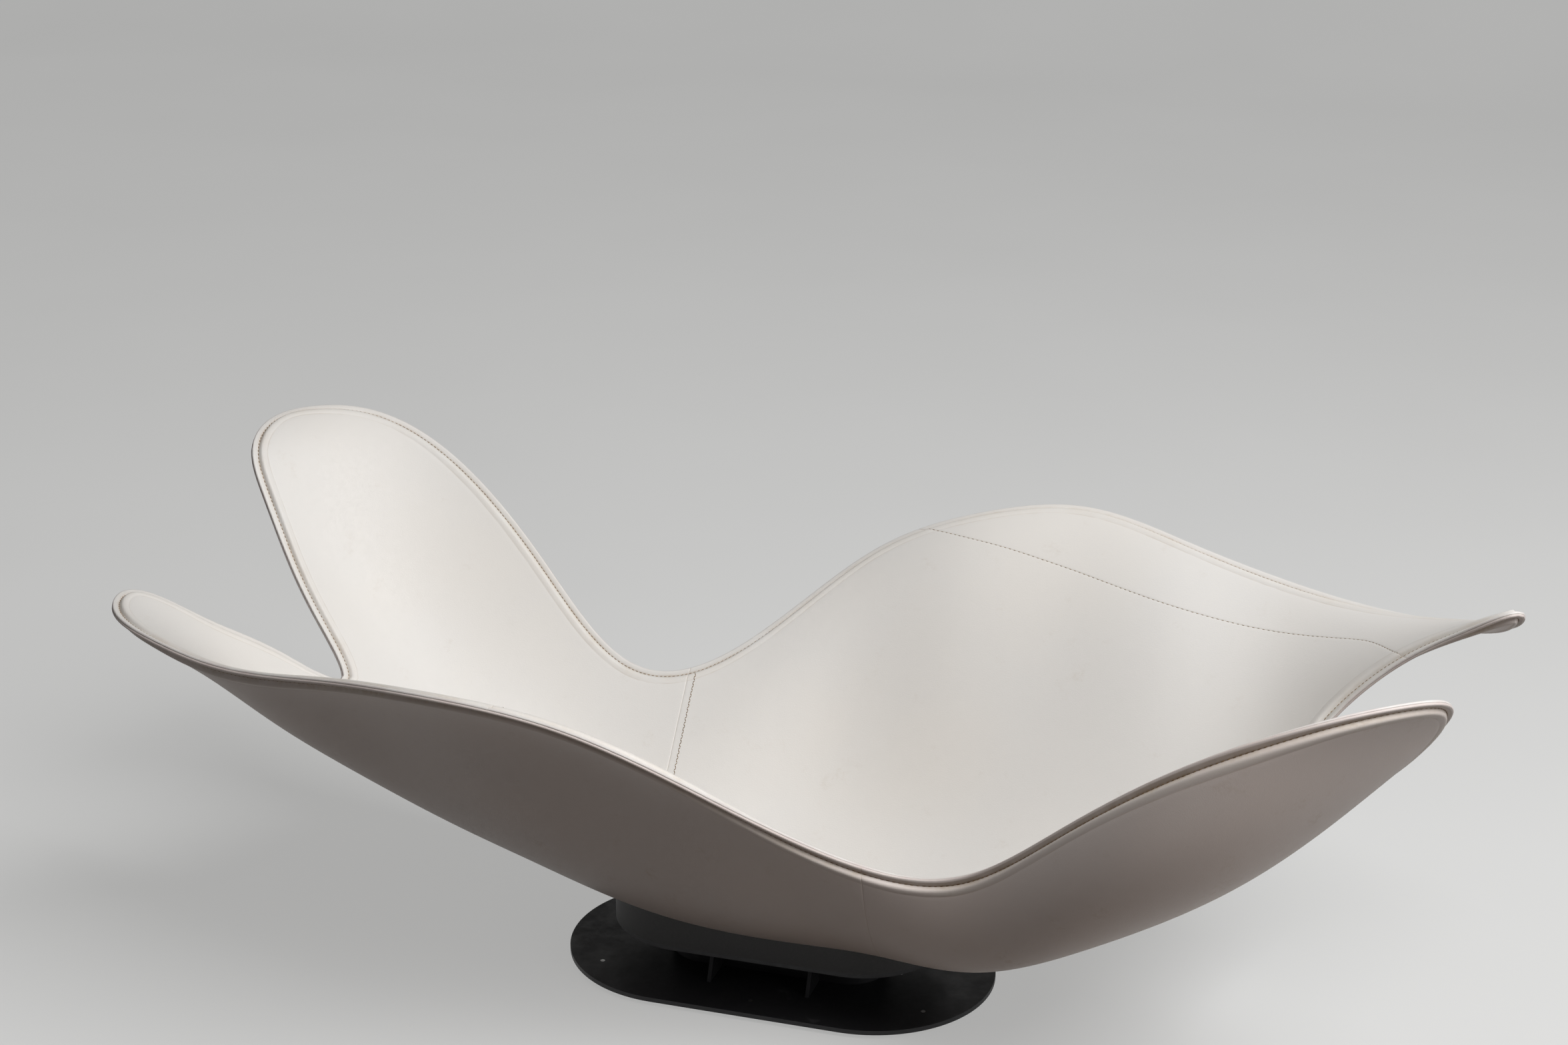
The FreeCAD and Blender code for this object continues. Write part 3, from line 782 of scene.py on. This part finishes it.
def stitch_line(name, line, depths, pitch, fill, tilt):
    """Stitches along an open line with its own depth at each place, leaning to either side in turn."""
    points = skin_point(line, depths)
    marks = even_marks(points, pitch, False)
    index = np.arange(len(points))

    def at(where):
        where = np.clip(where, 0, len(points) - 1)
        return np.stack([np.interp(where, index, points[:, axis]) for axis in range(3)], axis=-1)

    places = np.stack([np.interp(marks, index, line[:, axis]) for axis in (0, 1)], axis=-1)
    spots = at(marks)
    alongs = unit(at(marks + SEAM_MARK_STEP) - at(marks - SEAM_MARK_STEP))
    normals = carrier_frame(places[:, 0], places[:, 1])[2]
    ups = unit(normals - alongs * dot(normals, alongs)[:, None])
    if tilt:
        sides = np.cross(ups, alongs)
        signs = np.where(np.arange(len(marks)) % 2 == 0, 1.0, -1.0)[:, None]
        alongs = unit(alongs + sides * signs * math.tan(tilt))
    return stitch_mesh(name, spots, alongs, ups, pitch * fill, SEAM_STITCH_RADIUS, 0.0)


# Materials. Colours are linear.
def new_material(name):
    material = bpy.data.materials.new(name)
    material.use_nodes = True
    tree = material.node_tree
    tree.nodes.clear()
    shader = tree.nodes.new("ShaderNodeBsdfPrincipled")
    output = tree.nodes.new("ShaderNodeOutputMaterial")
    tree.links.new(shader.outputs["BSDF"], output.inputs["Surface"])
    place = tree.nodes.new("ShaderNodeTexCoord").outputs["Object"]
    return material, tree, shader, place


def noise(tree, place, scale, detail=3.0, rough=0.5):
    node = tree.nodes.new("ShaderNodeTexNoise")
    node.inputs["Scale"].default_value = scale
    node.inputs["Detail"].default_value = detail
    node.inputs["Roughness"].default_value = rough
    tree.links.new(place, node.inputs["Vector"])
    return node.outputs["Fac"]


def cells(tree, place, scale):
    node = tree.nodes.new("ShaderNodeTexVoronoi")
    node.inputs["Scale"].default_value = scale
    tree.links.new(place, node.inputs["Vector"])
    return node.outputs["Distance"]


def ramp(tree, value, low, high, start=0.0, end=1.0):
    """Maps a value from low..high to start..end, clamped."""
    node = tree.nodes.new("ShaderNodeMapRange")
    node.inputs["From Min"].default_value = low
    node.inputs["From Max"].default_value = high
    node.inputs["To Min"].default_value = start
    node.inputs["To Max"].default_value = end
    tree.links.new(value, node.inputs["Value"])
    return node.outputs["Result"]


def maths(tree, operation, one, two):
    node = tree.nodes.new("ShaderNodeMath")
    node.operation = operation
    for socket, value in zip(node.inputs, (one, two)):
        if isinstance(value, float):
            socket.default_value = value
        else:
            tree.links.new(value, socket)
    return node.outputs["Value"]


def mix(tree, factor, one, two):
    node = tree.nodes.new("ShaderNodeMix")
    node.data_type = "RGBA"
    tree.links.new(factor, node.inputs["Factor"])
    for socket, value in ((node.inputs["A"], one), (node.inputs["B"], two)):
        if isinstance(value, tuple):
            socket.default_value = (*value, 1.0)
        else:
            tree.links.new(value, socket)
    return node.outputs["Result"]


def attribute(tree, name):
    node = tree.nodes.new("ShaderNodeAttribute")
    node.attribute_name = name
    return node.outputs["Fac"]


def band(tree, value, centre, half, soft):
    """One inside a band of a value, falling to zero at its sides."""
    away = maths(tree, "ABSOLUTE", maths(tree, "SUBTRACT", value, centre), 0.0)
    return ramp(tree, away, half, half + soft, 1.0, 0.0)


def bump(tree, shader, heights):
    """Chain of bumps from (height, strength, distance)."""
    last = None
    for height, strength, distance in heights:
        node = tree.nodes.new("ShaderNodeBump")
        node.inputs["Strength"].default_value = strength
        node.inputs["Distance"].default_value = distance
        tree.links.new(height, node.inputs["Height"])
        if last is not None:
            tree.links.new(last, node.inputs["Normal"])
        last = node.outputs["Normal"]
    tree.links.new(last, shader.inputs["Normal"])


CREAM = (0.800, 0.768, 0.726)
CREAM_COOL = (0.785, 0.762, 0.732)
CREAM_WARM = (0.775, 0.722, 0.660)
# Painted shade: the outer leather is the same white leather as the inner, painted darker and warmer for
# the shade and warm bounce on the downward outer side.
OUTER_CREAM_SHADED = (0.735, 0.650, 0.605)
OUTER_COOL_SHADED = (0.705, 0.635, 0.600)
# Brown for real stains and dark joints, also laid on as painted shade beside the stitch groove and in
# the crease.
STAIN_AND_SHADE = (0.480, 0.370, 0.260)
# Painted shade: dark brown laid in the stitch groove and over the outer lip, where shade falls.
GROOVE_SHADE_BROWN = (0.230, 0.160, 0.105)
LIP_WORN = (0.640, 0.540, 0.520)


RIDGE_BAND = (11.5 * MM, 4.0 * MM, 4.0 * MM)
# Band of dirt and painted shade beside the stitch groove.
GROOVE_DIRT_AND_SHADE_BAND = (STITCH_ROW, 0.6 * MM, 3.2 * MM)
# Band of the painted shade line along the stitch groove.
GROOVE_BAND = (STITCH_ROW, 0.2 * MM, 0.5 * MM)
# Band of painted shade over the lip.
LIP_BAND = (4.4 * MM, 2.0 * MM, 1.4 * MM)
# Band of painted shade along the crease.
CREASE_BAND = (19.3 * MM, 0.15 * MM, 0.9 * MM)
WORN_EDGE = (-1.3 * MM, 0.2 * MM)
JOINT_STAIN = (0.1 * MM, 0.6 * MM)
BROAD_BUMP = 6.0 * MM
CREASE_BUMP = 0.5 * MM
PORE_BUMP = 0.35 * MM


def leather(name, light, dark, groove_shade_amount, lip_shade_amount, dirt_and_shade_amount):
    """White leather with pores and worn edges; painted shade with some dirt by the stitch groove, and
    painted shade on the lip and in the crease.
    """
    material, tree, shader, place = new_material(name)
    edge = attribute(tree, "edge_gap")
    seam = attribute(tree, "seam_gap")
    broad = noise(tree, place, 3.1)
    patch = noise(tree, place, 23.0, 4.0, 0.6)
    fine = noise(tree, place, 160.0, 4.0, 0.6)
    colour = mix(tree, ramp(tree, broad, 0.38, 0.64), dark, light)
    on_ridge = band(tree, edge, *RIDGE_BAND)
    warm = maths(tree, "MULTIPLY", on_ridge, ramp(tree, patch, 0.34, 0.66, 0.0, 0.55))
    colour = mix(tree, warm, colour, CREAM_WARM)
    spots = maths(tree, "MULTIPLY", ramp(tree, patch, 0.60, 0.74), ramp(tree, fine, 0.42, 0.62))
    colour = mix(tree, maths(tree, "MULTIPLY", spots, dirt_and_shade_amount * 0.4), colour, STAIN_AND_SHADE)
    # Partly real dirt, partly painted shade: a patchy brown band beside the stitch groove, heavier on
    # the outer leather to darken its lip.
    near_groove = band(tree, edge, *GROOVE_DIRT_AND_SHADE_BAND)
    groove_dirt_and_shade = maths(tree, "MULTIPLY", near_groove, ramp(tree, patch, 0.36, 0.66, 0.05, dirt_and_shade_amount))
    groove_dirt_and_shade = maths(tree, "MULTIPLY", groove_dirt_and_shade, ramp(tree, fine, 0.30, 0.60, 0.45, 1.0))
    colour = mix(tree, groove_dirt_and_shade, colour, STAIN_AND_SHADE)
    # Painted shade: a thin dark line along the stitch groove, strong on the outer leather and faint on
    # the inner.
    line = maths(tree, "MULTIPLY", band(tree, edge, *GROOVE_BAND), groove_shade_amount)
    colour = mix(tree, line, colour, GROOVE_SHADE_BROWN)
    # Painted shade: a dark brown band over the lip between its edge and the shoulder, strong on the
    # outer leather, which lies in shade there.
    lip_shade = maths(tree, "MULTIPLY", band(tree, edge, *LIP_BAND), lip_shade_amount)
    lip_shade = maths(tree, "MULTIPLY", lip_shade, ramp(tree, patch, 0.30, 0.60, 0.55, 1.0))
    colour = mix(tree, lip_shade, colour, GROOVE_SHADE_BROWN)
    # Painted shade: patchy brown along the crease, where the leather dips.
    at_crease = band(tree, edge, *CREASE_BAND)
    crease_shade = maths(tree, "MULTIPLY", at_crease, ramp(tree, patch, 0.35, 0.6, 0.05, 0.30))
    colour = mix(tree, crease_shade, colour, STAIN_AND_SHADE)
    at_rim = ramp(tree, edge, *WORN_EDGE, 0.5, 0.0)
    worn = maths(tree, "MULTIPLY", at_rim, ramp(tree, patch, 0.36, 0.62))
    colour = mix(tree, worn, colour, LIP_WORN)
    joint = ramp(tree, seam, *JOINT_STAIN, 0.34, 0.0)
    colour = mix(tree, joint, colour, STAIN_AND_SHADE)
    tree.links.new(colour, shader.inputs["Base Color"])
    tree.links.new(ramp(tree, fine, 0.3, 0.7, 0.42, 0.54), shader.inputs["Roughness"])
    shader.inputs["Specular IOR Level"].default_value = 0.40
    pores = cells(tree, place, 620.0)
    creased = noise(tree, place, 210.0, 5.0, 0.65)
    bump(tree, shader, (
        (broad, 0.10, BROAD_BUMP), (creased, 0.16, CREASE_BUMP), (pores, 0.16, PORE_BUMP)))
    return material


def thread_material(name, light, dark):
    material, tree, shader, place = new_material(name)
    twist = noise(tree, place, 900.0, 2.0)
    dirty = noise(tree, place, 40.0, 3.0)
    colour = mix(tree, ramp(tree, dirty, 0.35, 0.65), light, dark)
    colour = mix(tree, ramp(tree, twist, 0.35, 0.75, 0.0, 0.5), colour, dark)
    tree.links.new(colour, shader.inputs["Base Color"])
    shader.inputs["Roughness"].default_value = 0.78
    bump(tree, shader, ((twist, 0.5, 0.3 * MM),))
    return material


def foam_material():
    material, tree, shader, place = new_material("foam_grey")
    colour = mix(tree, noise(tree, place, 60.0), (0.30, 0.30, 0.30), (0.42, 0.42, 0.41))
    tree.links.new(colour, shader.inputs["Base Color"])
    shader.inputs["Roughness"].default_value = 0.95
    bump(tree, shader, ((cells(tree, place, 900.0), 0.5, 0.5 * MM),))
    return material


def laminate_material():
    material, tree, shader, place = new_material("laminate_edge")
    fibres = noise(tree, place, 260.0, 5.0, 0.7)
    colour = mix(tree, ramp(tree, fibres, 0.35, 0.65), (0.60, 0.57, 0.46), (0.72, 0.70, 0.62))
    tree.links.new(colour, shader.inputs["Base Color"])
    shader.inputs["Roughness"].default_value = 0.55
    bump(tree, shader, ((fibres, 0.3, 0.4 * MM),))
    return material


def coated_steel():
    material, tree, shader, place = new_material("black_coated_steel")
    peel = noise(tree, place, 420.0, 2.0)
    scuff = noise(tree, place, 35.0, 6.0, 0.7)
    colour = mix(tree, ramp(tree, scuff, 0.60, 0.75), (0.018, 0.018, 0.020), (0.055, 0.055, 0.058))
    tree.links.new(colour, shader.inputs["Base Color"])
    tree.links.new(ramp(tree, scuff, 0.35, 0.7, 0.42, 0.60), shader.inputs["Roughness"])
    bump(tree, shader, ((peel, 0.25, 0.3 * MM),))
    return material


def zinc_steel():
    material, tree, shader, place = new_material("zinc_plated_steel")
    cloud = noise(tree, place, 180.0, 4.0)
    colour = mix(tree, cloud, (0.56, 0.57, 0.58), (0.70, 0.69, 0.66))
    tree.links.new(colour, shader.inputs["Base Color"])
    shader.inputs["Metallic"].default_value = 1.0
    tree.links.new(ramp(tree, cloud, 0.3, 0.7, 0.28, 0.45), shader.inputs["Roughness"])
    bump(tree, shader, ((cloud, 0.1, 0.2 * MM),))
    return material


def rubber():
    material, tree, shader, place = new_material("glide_rubber_black")
    dust = noise(tree, place, 90.0, 5.0, 0.6)
    colour = mix(tree, ramp(tree, dust, 0.45, 0.75), (0.022, 0.022, 0.022), (0.085, 0.082, 0.078))
    tree.links.new(colour, shader.inputs["Base Color"])
    shader.inputs["Roughness"].default_value = 0.85
    bump(tree, shader, ((dust, 0.3, 0.3 * MM),))
    return material


def cast_plastic():
    material, tree, shader, place = new_material("cast_cradle_plastic")
    grain = noise(tree, place, 320.0, 3.0)
    colour = mix(tree, grain, (0.030, 0.030, 0.031), (0.050, 0.049, 0.048))
    tree.links.new(colour, shader.inputs["Base Color"])
    shader.inputs["Roughness"].default_value = 0.6
    bump(tree, shader, ((grain, 0.25, 0.3 * MM),))
    return material


FLOOR_PALE = (0.80, 0.80, 0.79)
FLOOR_LIT = (0.84, 0.84, 0.83)
FLOOR_BOUNCE = (0.100, 0.078, 0.064)
FLOOR_GLOW = 0.84
FLOOR_GLOW_SHARE = 0.56


def floor_material():
    """A pale floor to the camera, and a duller one to the light that falls back on the object."""
    material, tree, shader, place = new_material("pale_floor")
    path = tree.nodes.new("ShaderNodeLightPath").outputs
    seen = maths(tree, "MAXIMUM", path["Is Camera Ray"], path["Is Glossy Ray"])
    seen = maths(tree, "MAXIMUM", seen, path["Is Transmission Ray"])
    broad = noise(tree, place, 1.2)
    lit = mix(tree, broad, FLOOR_PALE, FLOOR_LIT)
    tree.links.new(mix(tree, seen, FLOOR_BOUNCE, lit), shader.inputs["Base Color"])
    shader.inputs["Roughness"].default_value = 0.80
    shader.inputs["Specular IOR Level"].default_value = 0.15
    glow = tree.nodes.new("ShaderNodeEmission")
    tree.links.new(lit, glow.inputs["Color"])
    glow.inputs["Strength"].default_value = FLOOR_GLOW
    blend = tree.nodes.new("ShaderNodeMixShader")
    tree.links.new(maths(tree, "MULTIPLY", seen, FLOOR_GLOW_SHARE), blend.inputs[0])
    tree.links.new(shader.outputs["BSDF"], blend.inputs[1])
    tree.links.new(glow.outputs["Emission"], blend.inputs[2])
    output = tree.nodes["Material Output"]
    tree.links.new(blend.outputs["Shader"], output.inputs["Surface"])
    return material


def dress_cad_nodes():
    looks = {
        "shell_core": laminate_material(), "shell_cradle": cast_plastic(), "base_glides": rubber()}
    steel = coated_steel()
    zinc = zinc_steel()
    for node in ("base_top_plate", "base_column", "base_ribs", "base_floor_plate"):
        looks[node] = steel
    for node in ("threaded_inserts", "shell_bolts", "shell_washers", "glide_screws"):
        looks[node] = zinc
    for node, material in looks.items():
        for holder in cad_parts[node].material_slots:
            holder.material = material


THREAD_BEIGE = (0.30, 0.20, 0.10)
THREAD_BEIGE_DARK = (0.17, 0.105, 0.05)
THREAD_BROWN = (0.27, 0.175, 0.085)
THREAD_BROWN_DARK = (0.16, 0.10, 0.045)


def dress_soft(piece, node, material):
    piece.data.materials.append(material)
    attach(piece, "root")
    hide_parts(node)


def dress_pieces():
    inner = leather(
        "inner_leather_white", CREAM, CREAM_COOL, groove_shade_amount=0.10, lip_shade_amount=0.05, dirt_and_shade_amount=0.34)
    # The outer leather takes the shaded copy of the cream and heavier painted shade in its groove, on
    # its lip and beside its groove.
    outer = leather(
        "outer_leather_white", OUTER_CREAM_SHADED, OUTER_COOL_SHADED, groove_shade_amount=0.60, lip_shade_amount=0.62,
        dirt_and_shade_amount=0.65)
    beige = thread_material("thread_beige", THREAD_BEIGE, THREAD_BEIGE_DARK)
    brown = thread_material("thread_brown", THREAD_BROWN, THREAD_BROWN_DARK)
    grey = foam_material()
    for piece, node, slot_name in leather_pieces():
        dress_soft(piece, node, inner if slot_name == "inner_leather" else outer)
    for piece, node, slot_name in foam_pieces():
        dress_soft(piece, node, grey)
    for piece, slot_name in thread_pieces():
        piece.data.materials.append(brown if "seam" in piece.name else beige)
        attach(piece, "root")


# The room: a floor that curves up into a backdrop.
FLOOR_FRONT = -7.0
FLOOR_BACK = 6.0
COVE_RADIUS = 3.0
BACKDROP_TOP = 7.0
FLOOR_HALF = 12.0
COVE_STEPS = 16


def backdrop():
    profile = [(FLOOR_FRONT, 0.0), (FLOOR_BACK, 0.0)]
    for step in range(1, COVE_STEPS + 1):
        angle = math.pi / 2 * step / COVE_STEPS
        profile.append((
            FLOOR_BACK + COVE_RADIUS * math.sin(angle), COVE_RADIUS * (1 - math.cos(angle))))
    profile.append((FLOOR_BACK + COVE_RADIUS, BACKDROP_TOP))
    points = [(side * FLOOR_HALF, y, z) for y, z in profile for side in (-1, 1)]
    faces = [(2 * i, 2 * i + 1, 2 * i + 3, 2 * i + 2) for i in range(len(profile) - 1)]
    mesh = bpy.data.meshes.new("backdrop")
    mesh.from_pydata(points, [], faces)
    mesh.polygons.foreach_set("use_smooth", [True] * len(faces))
    mesh.materials.append(floor_material())
    stage_piece = bpy.data.objects.new("backdrop", mesh)
    bpy.context.collection.objects.link(stage_piece)


def soft_lamp(name, place, target, size, power):
    lamp = bpy.data.lights.new(name, "AREA")
    lamp.shape = "RECTANGLE"
    lamp.size = size[0]
    lamp.size_y = size[1]
    lamp.energy = power
    holder = bpy.data.objects.new(name, lamp)
    bpy.context.collection.objects.link(holder)
    holder.location = place
    holder.rotation_mode = "QUATERNION"
    holder.rotation_quaternion = (Vector(target) - Vector(place)).to_track_quat("-Z", "Y")


WORLD_GREY = (0.81, 0.80, 0.80, 1.0)
WORLD_LIGHT = 0.07

# Name, place, what it looks at, size and power of each lamp.
LAMPS = (
    ("key_lamp", (2.3, -0.9, 3.8), (0.0, 0.0, 0.3), (3.0, 2.4), 190.0),
    ("side_lamp", (4.2, -1.6, 1.3), (0.2, 0.0, 0.3), (1.6, 1.6), 22.0),
    ("left_lamp", (-4.5, -1.6, 0.6), (-0.5, -0.3, 0.3), (1.4, 1.4), 11.0))


def light_room():
    world = bpy.data.worlds.new("studio")
    world.use_nodes = True
    back = world.node_tree.nodes["Background"]
    back.inputs["Color"].default_value = WORLD_GREY
    back.inputs["Strength"].default_value = WORLD_LIGHT
    bpy.context.scene.world = world
    for name, place, target, size, power in LAMPS:
        soft_lamp(name, place, target, size, power)


CAMERA_PLACE = (0.9426, -3.0603, 1.7913)
CAMERA_YAW = 17.55
CAMERA_PITCH = 20.0
CAMERA_LENS = 62.64
CAMERA_SENSOR = 36.0
CLIP_NEAR = 0.05
CLIP_FAR = 60.0


def set_camera():
    data = bpy.data.cameras.new("camera")
    data.sensor_fit = "HORIZONTAL"
    data.sensor_width = CAMERA_SENSOR
    data.lens = CAMERA_LENS
    data.clip_start = CLIP_NEAR
    data.clip_end = CLIP_FAR
    holder = bpy.data.objects.new("camera", data)
    bpy.context.collection.objects.link(holder)
    holder.location = CAMERA_PLACE
    holder.rotation_euler = (math.radians(90 - CAMERA_PITCH), 0.0, math.radians(CAMERA_YAW))
    bpy.context.scene.camera = holder


random.seed(SEED)
dress_cad_nodes()
dress_pieces()
backdrop()
light_room()
set_camera()
bpy.context.scene.view_settings.view_transform = "Standard"
